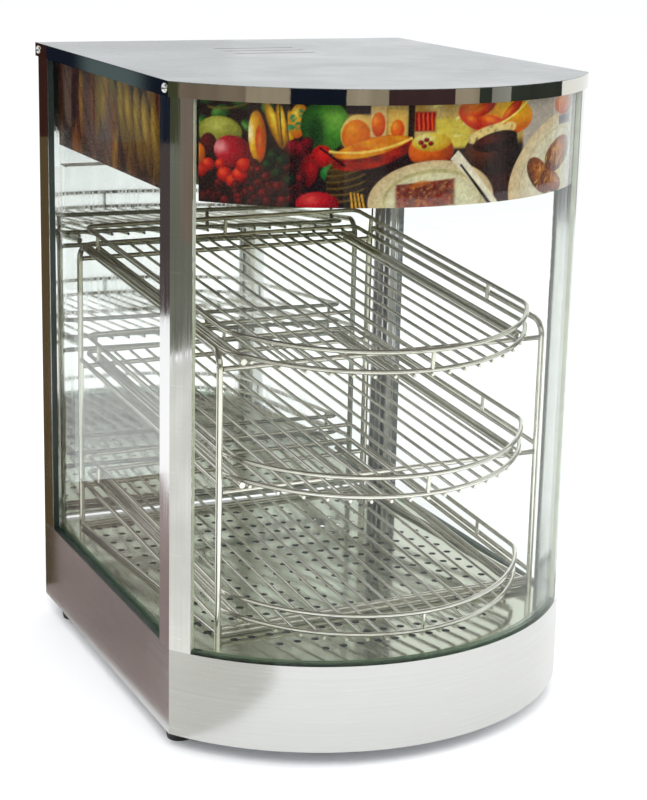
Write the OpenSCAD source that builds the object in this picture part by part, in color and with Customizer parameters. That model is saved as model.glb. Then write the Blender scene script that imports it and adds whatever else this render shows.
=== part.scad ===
// Countertop hot food display case: heated base, glazed cabinet with a bowed front,
// a wire rack with three sloping shelves, and a hinged rear door.
// Millimetres. +X is to the right seen from the bowed front, +Y is to the rear door, +Z is up.
// The origin is on the bench, under the middle of the whole outline.

/* [Case] */
// Width over the side panels
base_w = 394; // [380:1:420]
// Length of the straight sides
side_d = 382; // [370:1:400]
// How far the front bulges beyond the straight sides
bow = 102; // [95:1:110]
// Overall height, bench to lid
total_h = 591; // [588:1:640]
// Height of the heated base, without the feet
base_h = 80; // [78:1:90]
// Height of the feet
foot_h = 16; // [12:1:20]
// Thickness of the stainless sheet
sheet_t = 1.2; // [1:0.1:1.5]
// Width of the deck flange round the top of the base
deck_w = 24; // [20:1:26]

/* [Lid] */
// Gap between the posts and the inside of the lid's skirt
lid_gap = 1; // [0.5:0.1:2]
// Height of the lid's turned-down skirt
skirt_h = 13; // [11:0.5:16]
// Length of the three vent slots
slot_l = 84; // [60:1:100]
// Width of the vent slots
slot_w = 3; // [2:0.5:4]
// Distance between the vent slots
slot_pitch = 27; // [20:1:32]

/* [Posts and glass] */
// Side face of the front posts
post_side = 25; // [20:1:28]
// Front face of the front posts, along the bow
post_front = 22; // [18:1:26]
// Side face of the rear posts
rear_post_side = 30; // [25:1:35]
// Flange of the rear posts, across the back
rear_flange = 23; // [18:1:26]
// Thickness of the glass
glass_t = 5; // [4:0.5:6]
// How far the side glass sits inside the posts' outer face
glass_recess = 6; // [5:0.5:7]
// Thickness of the printed film
film_t = 0.4; // [0.3:0.1:0.5]
// Height of the film's lower edge above the bench
film_z = 494; // [470:1:510]
// Height of the lower edge of the panel over the door
header_z = 468; // [450:1:480]

/* [Door] */
// How far the door laps over its frame at each side
door_lap = 7; // [4:1:10]
// Thickness of the door
door_t = 12; // [10:1:16]
// Length of the bow handle
handle_l = 120; // [90:5:160]
// How far the handle stands off the door
handle_out = 26; // [22:1:32]

/* [Rack] */
// Rod radius of the side frames
leg_r = 2.9; // [2.5:0.1:3.2]
// Rod radius of the cross bars
bar_r = 2.4; // [2:0.1:2.6]
// Wire radius of the shelf rims
rim_r = 2.2; // [1.8:0.1:2.4]
// Wire radius of the shelf grids
grid_r = 1.5; // [1.2:0.1:1.7]
// Half the distance between the side frames
leg_x = 165; // [160:1:166]
// Front legs, behind which the bowed ends of the shelves begin
leg_front = -168; // [-172:1:-160]
// Rear legs
leg_rear = 170; // [155:1:172]
// Rise of the shelves for each millimetre towards the rear
slope = 0.108; // [0.06:0.002:0.12]
// Height of the top shelf's rim over the deck, at the middle of the rack
rim_z = 279; // [270:1:290]
// How far the middle and the lower shelf sit under the top one
level_drop = [0, 111, 238]; // [0:1:240]
// Half width of the shelves
shelf_hw = 153.5; // [148:0.5:154]
// Front tip of the shelves
shelf_tip = -256; // [-260:1:-250]
// Radius of the shelves' bowed front
shelf_r = 173; // [172:1:190]
// Height of the guard rail over the rim
guard_h = 18; // [16:0.5:24]
// Distance between grid wires
grid_pitch = 17.4; // [15:0.1:17.8]

/* [Controls] */
// Radius of the thermostat knob
knob_r = 19; // [16:1:24]
// Height of the controls over the bottom of the base
control_z = 42; // [38:1:46]

/* [Hidden] */
$fn = 64;

// Weld beads on bent rods, and the gap they bridge
bead = 0.15;
weld_gap = 0.2;

// How far cuts run past the faces they open, and the clearance of screw holes
over = 1;
hole_gap = 0.1;

// Heights
base_z0 = foot_h;
base_z1 = foot_h + base_h;
post_z1 = total_h - sheet_t;
skirt_z = total_h - skirt_h;
glass_z1 = post_z1 - 2;
ceiling_z = film_z + 12;
control_h = base_z0 + control_z;

// Plan of the bowed front: one arc through both front corners
arc_r = (pow(base_w / 2, 2) + pow(bow, 2)) / (2 * bow);
arc_y = arc_r - side_d / 2 - bow;
corner_a = asin(base_w / 2 / arc_r);
post_a = corner_a - post_front / arc_r * 180 / PI;
side_x = base_w / 2;
rear_y = side_d / 2;
lid_out = lid_gap + sheet_t;
glass_x = side_x - glass_recess;
glass_fit = 0.3;
glass_y0 = post_side - rear_y + glass_fit;
glass_y1 = rear_y - rear_post_side - glass_fit;

// Rear door, outside the rear flanges
door_gap = 1;
door_y0 = rear_y + door_gap;
door_y1 = door_y0 + door_t;
opening_x = side_x - rear_flange;
door_x = opening_x + door_lap;
door_z0 = base_z1 + 2;
door_z1 = header_z + 8;
hinge_r = 4;
pin_r = 2;
hinge_x = door_x + hinge_r + 0.5;
hinge_y = rear_y + hinge_r + 1;
hinge_zs = [door_z0 + 60, door_z1 - 60];
knuckle_h = 14;
handle_x = -door_x + 28;
handle_r = 5;

// The origin is under the middle of the outline, handle included
rear_most = door_y1 + handle_out + handle_r + bead;
front_most = side_d / 2 + bow + lid_out;
shift_y = (front_most - rear_most) / 2;

// Rack, standing a little turned on the floor plate
floor_z = base_z1 + 1;
rack_turn = 3.3;
rack_x = 7;
rack_y = -5;
rack_bend = 15;
shelf_x = -4.5;
shelf_fillet = 28;
shelf_back = leg_rear + 3;
shelf_back_r = 8;
rim_z0 = base_z1 + rim_z;
tilt = atan(slope);
top_bar_z = rim_z0 + 1;
rail_over_bar = 7.5;
weld_touch = 0.02;
grid_drop = rim_r + grid_r + weld_touch;
grid_count = floor((shelf_hw - 14) / grid_pitch);
rest_gap = 0.3;
runner_x = grid_count * grid_pitch;
runner_drop = grid_drop + grid_r + rest_gap + leg_r;
bar_drop = runner_drop + leg_r + weld_touch + bar_r;
shelf_arc_y = shelf_tip + shelf_r;
fillet_x = shelf_hw - shelf_fillet;
shelf_a = asin(fillet_x / (shelf_r - shelf_fillet));
fillet_y = shelf_arc_y - sqrt(pow(shelf_r - shelf_fillet, 2) - pow(fillet_x, 2));
guard_post_r = 1.9;
guard_side_y = [-96, 140];

// Controls on the rear panel
knob_x = 62;
power_x = -92;
light_x = -48;
pilot_x = -4;
gland_x = -150;
gland_z = base_z0 + 24;
knob_y0 = rear_y + 1;
knob_h = 16;
shaft_r = 3;
thermostat_l = 26;
run_gap = 0.05;
screw_r = 1.6;
panel_screw_z = [19, base_h - 12];
lid_screw_y = [8 - rear_y, rear_y - 8];
switch_w = 21;
switch_h = 28;
rocker_w = 14;
rocker_h = 22;
rocker_tilt = 8;
trunnion_r = 1.2;
rocker_y = rear_y - 1;
foot_pocket = 6;
foot_xy = [for (x = [-178, 178]) for (y = [-166, 154]) [x, y]];
element_z = base_z0 + 38;
element_r = 4;
shield_z = base_z0 + 12;
shield_rear = 108;
terminal_xy = [-70, 160];
terminal_w = 52;
cable_r = 2.5;
cable_x = side_x - sheet_t - 3.4;
cable_y = 176;
lamp_z = ceiling_z + 26;

// ---- Shared shapes ----

// Moves a piece from the middle of the straight sides to the part's own origin
module placed() {
    translate([0, shift_y, 0]) children();
}

// Outline of the case, drawn in from its outer face
module d_shape(inset = 0) {
    half = side_x - inset;
    intersection() {
        translate([-half, -rear_y - bow - lid_out]) square([2 * half, 2 * rear_y + bow + lid_out - inset]);
        union() {
            translate([0, arc_y]) circle(r = arc_r - inset, $fn = 180);
            translate([-half - 1, arc_y]) square([2 * half + 2, rear_y - arc_y + lid_out]);
        }
    }
}

// Straight-sided wall of the outline, between two insets
module d_wall(outer, inner) {
    difference() {
        d_shape(outer);
        d_shape(inner);
    }
}

// Part of a ring about the bow's centre, between two angles from the front
module bow_sector(r_out, r_in, a0, a1) {
    far = 2 * arc_r;
    intersection() {
        translate([0, arc_y]) difference() {
            circle(r = r_out, $fn = 180);
            circle(r = r_in, $fn = 180);
        }
        translate([0, arc_y]) polygon([
            [0, 0],
            [far * sin(a0), -far * cos(a0)],
            [far * sin((a0 + a1) / 2), -far * cos((a0 + a1) / 2)],
            [far * sin(a1), -far * cos(a1)]
        ]);
    }
}

// Straight rod between two points, drawn short of both by a trim
module rod(p, q, r, trim = 0) {
    d = q - p;
    flat = norm([d[0], d[1]]);
    translate(p) rotate([0, atan2(flat, d[2]), atan2(d[1], d[0])]) translate([0, 0, trim])
        cylinder(r = r, h = norm(d) - 2 * trim);
}

// Weld beads where bent and straight lengths of rod meet, turned so that their seams face sideways
module beads(points, r, turn = 0) {
    for (p = points) translate(p) rotate([0, 0, turn]) sphere(r = r + bead);
}

// Bent wire through a list of points, with a ball at each bend
module bent_wire(points, r) {
    for (i = [0 : len(points) - 2]) rod(points[i], points[i + 1], r);
    for (i = [1 : len(points) - 2]) translate(points[i]) sphere(r = r * 1.2);
}

// Round bend, drawn short of both its ends by the weld gap
module bend(r_bend, r, a0, sweep) {
    trim = weld_gap / r_bend * 180 / PI;
    rotate([0, 0, a0 + trim]) rotate_extrude(angle = sweep - 2 * trim, $fn = 96)
        translate([r_bend, 0]) circle(r = r, $fn = 32);
}

// Round bend in the YZ plane
module bend_yz(y, z, r_bend, r, a0, sweep) {
    translate([0, y, z]) rotate([90, 0, 90]) bend(r_bend, r, a0, sweep);
}

// Round bend in the XY plane
module bend_xy(x, y, r_bend, r, a0, sweep) {
    translate([x, y, 0]) bend(r_bend, r, a0, sweep);
}

// Dome-headed screw, its head on +Z
module dome_screw(r_head, h_head, r_shank, l_shank) {
    intersection() {
        cylinder(r = r_head, h = h_head);
        translate([0, 0, h_head - r_head * 1.25]) sphere(r = r_head * 1.25);
    }
    translate([0, 0, -l_shank]) cylinder(r = r_shank, h = l_shank);
}

// ---- Heated base ----

module base_shell() {
    cable_gap = 0.3;
    color("silver") placed() {
        difference() {
            union() {
                translate([0, 0, base_z0]) linear_extrude(base_h) d_wall(0, sheet_t);
                translate([0, 0, base_z1 - sheet_t]) linear_extrude(sheet_t) d_wall(0, deck_w);
            }
            translate([-side_x + sheet_t, rear_y - sheet_t - hole_gap, base_z0 - over])
                cube([base_w - 2 * sheet_t, 2 * sheet_t, base_h - sheet_t + over]);
            translate([cable_x, cable_y, base_z1 - 2 * sheet_t])
                cylinder(r = cable_r + cable_gap, h = 3 * sheet_t);
        }
    }
}

module bottom_plate() {
    rim_h = 12;
    screw_hole_r = 2.3;
    vent_w = 4;
    vent_l = 60;
    color("silver") placed() difference() {
        union() {
            translate([0, 0, base_z0]) linear_extrude(sheet_t) d_shape(sheet_t);
            translate([0, 0, base_z0]) linear_extrude(rim_h) difference() {
                d_shape(sheet_t);
                d_shape(2 * sheet_t);
            }
        }
        for (p = foot_xy) translate([p[0], p[1], base_z0 - over])
            cylinder(r = screw_hole_r, h = sheet_t + 2 * over);
        for (x = [-96, -72, -48, 48, 72, 96]) translate([x, -vent_l / 2, base_z0 - over])
            cube([vent_w, vent_l, sheet_t + 2 * over]);
    }
}

// One rocker cut-out through the rear panel
module switch_hole(x) {
    translate([x - switch_w / 2, rear_y - 5, control_h - switch_h / 2]) cube([switch_w, 10, switch_h]);
}

module rear_panel() {
    vent_x = 112;
    vent = [56, 10, 3];
    vent_pitch = 8;
    vent_drop = 22;
    control_hole_r = 5;
    gland_hole_r = 8;
    color("silver") placed() difference() {
        translate([-side_x + sheet_t, rear_y - sheet_t, base_z0])
            cube([base_w - 2 * sheet_t, sheet_t, base_h - sheet_t]);
        switch_hole(power_x);
        switch_hole(light_x);
        for (x = [pilot_x, knob_x]) translate([x, rear_y + 5, control_h]) rotate([90, 0, 0])
            cylinder(r = control_hole_r, h = 10);
        translate([gland_x, rear_y + 5, gland_z]) rotate([90, 0, 0]) cylinder(r = gland_hole_r, h = 10);
        for (i = [0 : 5])
            translate([vent_x, rear_y - 5, control_h - vent_drop + vent_pitch * i]) cube(vent);
        for (x = [-1, 1]) for (z = panel_screw_z) translate([x * (side_x - 9), rear_y + 5, base_z0 + z])
            rotate([90, 0, 0]) cylinder(r = screw_r + hole_gap, h = 10);
    }
}

// Perforated plate that lies on the deck
module floor_plate() {
    edge = 12;
    hole_r = 3.6;
    pitch_x = 17;
    pitch_y = 24;
    lip_h = 9;
    color("darkgray") placed() translate([0, 0, base_z1]) difference() {
        union() {
            linear_extrude(floor_z - base_z1) d_shape(edge);
            translate([0, 0, -lip_h]) linear_extrude(lip_h) d_wall(deck_w + 1, deck_w + 2);
        }
        for (i = [-9 : 9]) for (j = [-11 : 6])
            if (norm([i * pitch_x, j * pitch_y - arc_y]) < arc_r - deck_w - 16 || j * pitch_y > arc_y)
                translate([i * pitch_x, j * pitch_y, -2]) cylinder(r = hole_r, h = 5, $fn = 24);
    }
}

module foot() {
    bottom_r = 11;
    top_r = 14;
    pocket_r = 6;
    bore_r = 2.4;
    difference() {
        cylinder(r1 = bottom_r, r2 = top_r, h = foot_h);
        translate([0, 0, -over]) cylinder(r = pocket_r, h = foot_pocket + over);
        translate([0, 0, -over]) cylinder(r = bore_r, h = foot_h + 2 * over);
    }
}

module feet() {
    color("black") placed() for (p = foot_xy) translate([p[0], p[1], 0]) foot();
}

module foot_screws() {
    head_h = 3;
    color("silver") placed() for (p = foot_xy) translate([p[0], p[1], foot_pocket]) {
        translate([0, 0, -head_h]) cylinder(r = 4, h = head_h);
        cylinder(r = 2, h = foot_h);
    }
}

module foot_nuts() {
    color("silver") placed() for (p = foot_xy) translate([p[0], p[1], base_z0 + sheet_t]) difference() {
        cylinder(r = 4, h = 3.2, $fn = 6);
        translate([0, 0, -1]) cylinder(r = 2.05, h = 6);
    }
}

// Reflector under the element
module heat_shield() {
    edge = 30;
    thick = 1;
    color("lightgray") placed() intersection() {
        union() {
            translate([0, 0, shield_z]) linear_extrude(thick) d_shape(edge);
            translate([0, 0, base_z0 + sheet_t]) linear_extrude(shield_z - base_z0 + thick - sheet_t)
                d_wall(edge, edge + thick);
        }
        translate([-side_x, -rear_y - bow, 0]) cube([base_w, shield_rear + rear_y + bow, total_h]);
    }
}

// Half ring of rod
module u_bend(r_bend, r) {
    rotate_extrude(angle = 180) translate([r_bend, 0]) circle(r = r);
}

// Tubular element: four straight runs joined by three round bends
module heating_element() {
    run = 80;
    front = -150;
    rear = 60;
    cold_end = shield_rear + 22;
    pin_l = 12;
    color("dimgray") placed() translate([0, 0, element_z]) {
        for (x = [-1.5, 1.5]) translate([x * run, front, 0]) rotate([-90, 0, 0])
            cylinder(r = element_r, h = cold_end - front);
        for (x = [-0.5, 0.5]) translate([x * run, front, 0]) rotate([-90, 0, 0])
            cylinder(r = element_r, h = rear - front);
        for (x = [-1, 1]) translate([x * run, front, 0]) rotate([0, 0, 180]) u_bend(run / 2, element_r);
        translate([0, rear, 0]) u_bend(run / 2, element_r);
        for (x = [-1.5, 1.5]) translate([x * run, cold_end, 0]) rotate([-90, 0, 0])
            cylinder(r = 1.6, h = pin_l);
    }
}

module element_brackets() {
    half = 136;
    foot_w = 12;
    color("lightgray") placed() for (y = [-110, 30]) difference() {
        union() {
            translate([-half, y, shield_z + 1]) cube([2 * half, 1.5, element_z - shield_z + 7]);
            translate([-half, y, shield_z + 1]) cube([2 * half, foot_w, sheet_t]);
        }
        for (x = [-120, -40, 40, 120]) translate([x, y - 5, element_z]) rotate([-90, 0, 0])
            cylinder(r = element_r + hole_gap, h = 12);
    }
}

// ---- Controls ----

module thermostat_body() {
    color("gainsboro") placed() difference() {
        union() {
            translate([knob_x, rear_y - sheet_t, control_h]) rotate([90, 0, 0])
                cylinder(r = 17, h = thermostat_l);
            translate([knob_x - 24, rear_y - sheet_t - 2, control_h - 8]) cube([48, 2, 16]);
        }
        translate([knob_x, rear_y, control_h]) rotate([90, 0, 0]) cylinder(r = shaft_r + run_gap, h = 20);
    }
}

// Capillary and sensing bulb, clipped under the floor plate
module thermostat_bulb() {
    y0 = rear_y - sheet_t - thermostat_l;
    z1 = base_z1 - 3.25;
    color("peru") placed() {
        bent_wire([[knob_x, y0, control_h], [knob_x, y0 - 14, control_h], [knob_x, y0 - 26, z1],
                   [knob_x + 20, 100, z1], [knob_x + 20, 60, z1]], 1);
        translate([knob_x + 20, -20, z1]) rotate([-90, 0, 0]) cylinder(r = 3.2, h = 80);
    }
}

module thermostat_shaft() {
    color("silver") placed() translate([knob_x, rear_y + 14, control_h]) rotate([90, 0, 0])
        cylinder(r = shaft_r, h = 26);
}

module thermostat_knob() {
    color("black") placed() translate([knob_x, knob_y0, control_h]) rotate([-90, 0, 0]) difference() {
        union() {
            cylinder(r = knob_r, h = 4);
            cylinder(r1 = knob_r - 3, r2 = knob_r - 5, h = knob_h);
            translate([-3, -(knob_r - 4), knob_h - 1]) cube([6, 2 * (knob_r - 4), 4]);
        }
        translate([0, 0, -1]) cylinder(r = shaft_r, h = 14);
    }
}

// Rocker switch housing with a pocket for its rocker
module switch_housing(x) {
    bezel = 2;
    body_w = switch_w - 0.4;
    body_h = switch_h - 0.4;
    body_d = 20;
    placed() translate([x, rear_y, control_h]) difference() {
        union() {
            translate([-switch_w / 2 - bezel, 0, -switch_h / 2 - bezel])
                cube([switch_w + 2 * bezel, bezel, switch_h + 2 * bezel]);
            translate([-body_w / 2, -body_d, -body_h / 2]) cube([body_w, body_d, body_h]);
        }
        translate([-rocker_w / 2 - 0.5, -9, -rocker_h / 2 - 1]) cube([rocker_w + 1, body_d, rocker_h + 2]);
        translate([-rocker_w / 2 - 2, -1, 0]) rotate([0, 90, 0])
            cylinder(r = trunnion_r + run_gap, h = rocker_w + 4);
    }
    placed() for (z = [-8, 0, 8]) translate([x - 0.4, rear_y - 28, control_h + z - 3]) cube([0.8, 9, 6]);
}

module power_switch() {
    color("black") switch_housing(power_x);
}

module light_switch() {
    color("black") switch_housing(light_x);
}

// Rocker, drawn in its off position, with a trunnion at each side
module rocker(x) {
    half = rocker_h / 2;
    placed() translate([x, rocker_y, control_h]) {
        rotate([rocker_tilt, 0, 0]) translate([-rocker_w / 2, 0, 0]) rotate([90, 0, 90])
            linear_extrude(rocker_w) polygon([
                [-4, 0], [0, half - 1], [4, half - 0.6], [2.6, 0], [4, 0.6 - half], [0, 1 - half]
            ]);
        translate([-rocker_w / 2 - 1.6, 0, 0]) rotate([0, 90, 0]) cylinder(r = trunnion_r, h = rocker_w + 3.2);
    }
}

module power_rocker() {
    color("red") rocker(power_x);
}

module light_rocker() {
    color("red") rocker(light_x);
}

module pilot_lamp() {
    color("orange") placed() translate([pilot_x, rear_y, control_h]) rotate([-90, 0, 0]) {
        cylinder(r = 6.5, h = 1.5);
        translate([0, 0, -14]) cylinder(r = 4.9, h = 14.5);
        intersection() {
            cylinder(r = 5, h = 6);
            translate([0, 0, -1]) sphere(r = 6);
        }
    }
}

// Gland with a clear bore for the supply cord
module cable_gland() {
    thread_r = 7.9;
    thread_l = 14;
    hex_r = 11.5;
    hex_h = 5;
    lock_h = 4;
    cap_h = 10;
    bore_r = 4;
    color("black") placed() translate([gland_x, rear_y, gland_z]) rotate([-90, 0, 0]) difference() {
        union() {
            translate([0, 0, -thread_l]) cylinder(r = thread_r, h = thread_l + over);
            cylinder(r = hex_r, h = hex_h, $fn = 6);
            translate([0, 0, hex_h]) cylinder(r1 = 9, r2 = 6.5, h = cap_h);
            translate([0, 0, -sheet_t - lock_h]) cylinder(r = hex_r, h = lock_h, $fn = 6);
        }
        translate([0, 0, -thread_l - over]) cylinder(r = bore_r, h = 40);
    }
}

module terminal_block() {
    color("white") placed() translate([terminal_xy[0], terminal_xy[1], base_z0 + sheet_t]) difference() {
        translate([-terminal_w / 2, -9, 0]) cube([terminal_w, 18, 16]);
        for (i = [-2 : 2]) translate([i * 10, 0, 6]) cylinder(r = 3, h = 12);
    }
}

module panel_screws() {
    color("silver") placed() for (x = [-1, 1]) for (z = panel_screw_z)
        translate([x * (side_x - 9), rear_y, base_z0 + z]) rotate([-90, 0, 0])
            dome_screw(3.4, 2, screw_r, 6);
}

// Cable held along the rear right post, from the terminals to the lamp
module lamp_cable() {
    z0 = base_z0 + 9;
    start = terminal_xy + [terminal_w / 2, 0];
    color("white") placed() bent_wire([[start[0], start[1], z0], [start[0] + 20, start[1], z0],
        [100, 132, z0], [cable_x, cable_y, z0], [cable_x, cable_y, lamp_z], [60, 90, lamp_z],
        [60, 62, lamp_z]], cable_r);
}

// ---- Cabinet ----

// Holes through the left side for the lid's screws
module lid_screw_holes() {
    for (y = lid_screw_y) translate([-side_x - 9, y, skirt_z + skirt_h / 2]) rotate([0, 90, 0])
        cylinder(r = screw_r + hole_gap, h = 18);
}

// Front post, drawn for the left corner
module front_post() {
    post_return = 12;
    difference() {
        translate([0, 0, base_z1]) linear_extrude(post_z1 - base_z1) {
            intersection() {
                translate([-side_x, -rear_y - 5]) square([sheet_t, post_side + 5]);
                d_shape(0);
            }
            translate([-side_x, post_side - rear_y - sheet_t]) square([post_return, sheet_t]);
            intersection() {
                bow_sector(arc_r, arc_r - sheet_t, -corner_a - 1, -post_a);
                d_shape(0);
            }
        }
        lid_screw_holes();
    }
}

module front_left_post() {
    color("silver") placed() front_post();
}

module front_right_post() {
    color("silver") placed() mirror([1, 0, 0]) front_post();
}

// Rear post, drawn for the left corner
module rear_post() {
    difference() {
        translate([0, 0, base_z1]) linear_extrude(post_z1 - base_z1) {
            translate([-side_x, rear_y - rear_post_side]) square([sheet_t, rear_post_side]);
            translate([-side_x, rear_y - rear_post_side]) square([glass_recess, sheet_t]);
            translate([-side_x, rear_y - sheet_t]) square([rear_flange, sheet_t]);
        }
        lid_screw_holes();
    }
}

module rear_left_post() {
    color("silver") placed() rear_post();
}

module rear_right_post() {
    color("silver") placed() mirror([1, 0, 0]) rear_post();
}

module front_glass() {
    color("honeydew", 0.35) placed() translate([0, 0, base_z1]) linear_extrude(glass_z1 - base_z1)
        bow_sector(arc_r, arc_r - glass_t, 0.15 - post_a, post_a - 0.15);
}

// Side glass, drawn for the left
module side_glass() {
    translate([-glass_x, glass_y0, base_z1]) cube([glass_t, glass_y1 - glass_y0, glass_z1 - base_z1]);
}

module left_glass() {
    color("honeydew", 0.35) placed() side_glass();
}

module right_glass() {
    color("honeydew", 0.35) placed() mirror([1, 0, 0]) side_glass();
}

// Rubber strip in the corner between the side glass, the deck and the rear post
module side_gasket() {
    lip = 0.9;
    width = glass_recess - 0.5;
    y1 = glass_y1 + 0.2;
    translate([-glass_x - width, glass_y0, base_z1]) cube([width, y1 - glass_y0, lip]);
    translate([-glass_x - width, y1 - lip, base_z1]) cube([width, lip, skirt_z - base_z1]);
}

module left_gasket() {
    color("black") placed() side_gasket();
}

module right_gasket() {
    color("black") placed() mirror([1, 0, 0]) side_gasket();
}

// Sealing bead between the curved glass and the front posts, inside
module front_seal() {
    color("darkslategray") placed() for (m = [0, 1]) mirror([m, 0, 0])
        translate([0, 0, base_z1 + 1]) linear_extrude(glass_z1 - base_z1 - 1)
            bow_sector(arc_r - sheet_t, arc_r - glass_t, -post_a - 1.2, -post_a + 0.1);
}

module front_film() {
    edge_a = 0.6;
    color("saddlebrown") placed() translate([0, 0, film_z]) linear_extrude(glass_z1 - film_z)
        bow_sector(arc_r - glass_t, arc_r - glass_t - film_t, edge_a - post_a, post_a - edge_a);
}

// Printed film on the inside of the side glass, drawn for the left
module side_film() {
    translate([glass_t - glass_x, glass_y0 + 1, film_z])
        cube([film_t, glass_y1 - glass_y0 - 2, glass_z1 - film_z]);
}

module left_film() {
    color("saddlebrown") placed() side_film();
}

module right_film() {
    color("saddlebrown") placed() mirror([1, 0, 0]) side_film();
}

module lid() {
    slot_x = -8;
    slot_y = 66;
    color("lightgray") placed() difference() {
        union() {
            translate([0, 0, post_z1]) linear_extrude(sheet_t) d_shape(-lid_out);
            translate([0, 0, skirt_z]) linear_extrude(skirt_h) d_wall(-lid_out, -lid_gap);
        }
        for (i = [-1 : 1]) translate([slot_x, slot_y + i * slot_pitch, post_z1 - 1]) {
            translate([(slot_w - slot_l) / 2, -slot_w / 2, 0]) cube([slot_l - slot_w, slot_w, 4]);
            for (s = [-1, 1]) translate([s * (slot_l - slot_w) / 2, 0, 0]) cylinder(r = slot_w / 2, h = 4);
        }
        for (m = [0, 1]) mirror([m, 0, 0]) lid_screw_holes();
    }
}

module lid_screws() {
    color("silver") placed() for (x = [-1, 1]) for (y = lid_screw_y)
        translate([x * (side_x + lid_out), y, skirt_z + skirt_h / 2]) rotate([0, x * 90, 0])
            dome_screw(4, 2.6, screw_r, 7);
}

module rear_header() {
    lip = 14;
    color("silver") placed() {
        translate([-opening_x - 12, rear_y - 2 * sheet_t, header_z])
            cube([2 * opening_x + 24, sheet_t, skirt_z - header_z]);
        translate([-opening_x + 1, rear_y - lip, header_z])
            cube([2 * opening_x - 2, lip - 2 * sheet_t, sheet_t]);
    }
}

// Tray above the cabinet that parts it from the lamp space, hung from the lid by four straps
module ceiling_panel() {
    edge = 14;
    rim_h = 16;
    strap_w = 14;
    window = [90, 60];
    color("gainsboro") placed() {
        difference() {
            union() {
                translate([0, 0, ceiling_z]) linear_extrude(1) d_shape(edge);
                translate([0, 0, ceiling_z]) linear_extrude(rim_h) d_wall(edge, edge + 1);
            }
            translate([-window[0] / 2, -window[1] / 2, ceiling_z - over]) cube([window[0], window[1], 3]);
        }
        for (m = [0, 1]) mirror([m, 0, 0]) for (y = [-120, 120])
            translate([side_x - edge - 1, y, ceiling_z + 1]) cube([1, strap_w, post_z1 - ceiling_z - 1]);
    }
}

module lamp_diffuser() {
    pane = [100, 70, 2];
    color("white", 0.6) placed() translate([-pane[0] / 2, -pane[1] / 2, ceiling_z + 1]) cube(pane);
}

module lamp_holder() {
    color("white") placed() {
        difference() {
            translate([60, 0, lamp_z]) rotate([0, -90, 0]) cylinder(r = 14, h = 30);
            translate([45, 0, lamp_z]) rotate([0, -90, 0]) cylinder(r = 8, h = 20);
        }
        translate([52, -12, ceiling_z + 1]) cube([8, 24, 14]);
        translate([54, 10, lamp_z - 4]) cube([12, 52, 8]);
    }
}

module lamp_bulb() {
    cap_r = 7.5;
    bulb_r = 11;
    length = 24;
    cap_x = 44;
    color("lightyellow") placed() {
        translate([cap_x, 0, lamp_z]) rotate([0, -90, 0]) cylinder(r = cap_r, h = length);
        translate([cap_x - length, 0, lamp_z]) rotate([0, -90, 0]) cylinder(r = bulb_r, h = length);
        translate([cap_x - 2 * length, 0, lamp_z]) sphere(r = bulb_r);
    }
}

// ---- Rear door ----

module door_magnet() {
    magnet = [44, 14, 8];
    color("dimgray") placed() translate([-magnet[0] / 2, rear_y - magnet[1], header_z - magnet[2]])
        cube(magnet);
}

module door_strike() {
    color("silver") placed() translate([-20, rear_y + 0.3, header_z - 8]) cube([40, door_gap - 0.3, 8]);
}

module door_outer_pan() {
    wall = sheet_t;
    color("silver") placed() difference() {
        translate([-door_x, door_y0 + 1, door_z0]) cube([2 * door_x, door_t - 1, door_z1 - door_z0]);
        translate([-door_x + wall, door_y0, door_z0 + wall])
            cube([2 * (door_x - wall), door_t - wall, door_z1 - door_z0 - 2 * wall]);
    }
}

// Mirror-polished inner face of the door
module door_inner_panel() {
    color("white") placed() translate([-door_x, door_y0, door_z0]) cube([2 * door_x, 1, door_z1 - door_z0]);
}

// Bow handle: a bar with two round bends
module door_handle() {
    z_mid = (door_z0 + door_z1) / 2;
    out = handle_out;
    bend = 12;
    rose_r = handle_r + 3;
    rose_h = 2;
    color("silver") placed() translate([handle_x, door_y1, z_mid]) {
        for (s = [-1, 1]) {
            translate([0, 0, s * handle_l / 2]) rotate([-90, 0, 0])
                cylinder(r = handle_r, h = out - bend - weld_gap);
            translate([0, 0, s * handle_l / 2]) rotate([-90, 0, 0]) cylinder(r = rose_r, h = rose_h);
        }
        bend_yz(out - bend, handle_l / 2 - bend, bend, handle_r, 0, 90);
        bend_yz(out - bend, bend - handle_l / 2, bend, handle_r, -90, 90);
        for (s = [-1, 1])
            beads([[0, out - bend, s * handle_l / 2], [0, out, s * (handle_l / 2 - bend)]], handle_r);
        rod([0, out, bend - handle_l / 2], [0, out, handle_l / 2 - bend], handle_r, weld_gap);
    }
}

// Two case knuckles and their leaf for each hinge
module hinge_case_leaves() {
    color("silver") placed() for (z = hinge_zs) difference() {
        union() {
            for (s = [-1, 1]) translate([hinge_x, hinge_y, z + s * knuckle_h - knuckle_h / 2 + s * 0.25])
                cylinder(r = hinge_r, h = knuckle_h);
            for (s = [-1, 1]) translate([hinge_x, rear_y, z + s * knuckle_h - knuckle_h / 2 + s * 0.25])
                cube([hinge_r, hinge_r, knuckle_h]);
            translate([hinge_x, rear_y, z - 1.5 * knuckle_h]) cube([side_x - hinge_x, 1, 3 * knuckle_h]);
        }
        translate([hinge_x, hinge_y, z - 2 * knuckle_h]) cylinder(r = pin_r, h = 4 * knuckle_h);
        translate([hinge_x - 5, rear_y + 1, z - knuckle_h / 2 - 0.25]) cube([10, 9, knuckle_h + 0.5]);
    }
}

module hinge_pins() {
    color("silver") placed() for (z = hinge_zs) {
        translate([hinge_x, hinge_y, z - 1.5 * knuckle_h - 1]) cylinder(r = pin_r, h = 3 * knuckle_h + 2);
        for (s = [-1, 1]) translate([hinge_x, hinge_y, z + s * (1.5 * knuckle_h + 1) - 0.75 + s * 0.5])
            cylinder(r = 3, h = 1.5);
    }
}

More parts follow.
